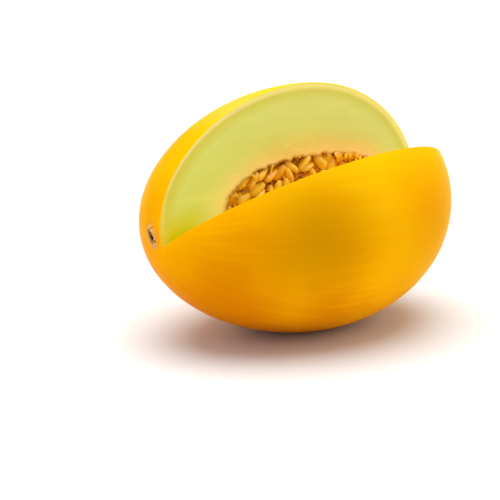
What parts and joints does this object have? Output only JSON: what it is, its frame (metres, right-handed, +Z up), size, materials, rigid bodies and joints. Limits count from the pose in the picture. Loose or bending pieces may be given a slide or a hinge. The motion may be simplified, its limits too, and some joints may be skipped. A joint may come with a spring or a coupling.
{
  "type": "canary melon with a wedge cut out",
  "caption": "Oval yellow melon lying on its side, with a lengthwise wedge cut out of it that shows pale green flesh and a cavity of orange pulp and seeds.",
  "frame": {"origin": "on the ground under the middle of the melon", "axes": "+X from the stem end to the blossom end, -Y the front, over which the cut opens, +Z up"},
  "size_m": [0.2045, 0.1492, 0.1471],
  "materials": {
    "rind": "smooth waxy rind with a soft sheen",
    "flesh": "moist cut melon flesh",
    "seeds_and_pulp": "wet seeds in stringy pulp"
  },
  "bodies": {
    "root": {"fruit": "rind", "seed_mass": "seeds_and_pulp"}
  },
  "joints": []
}
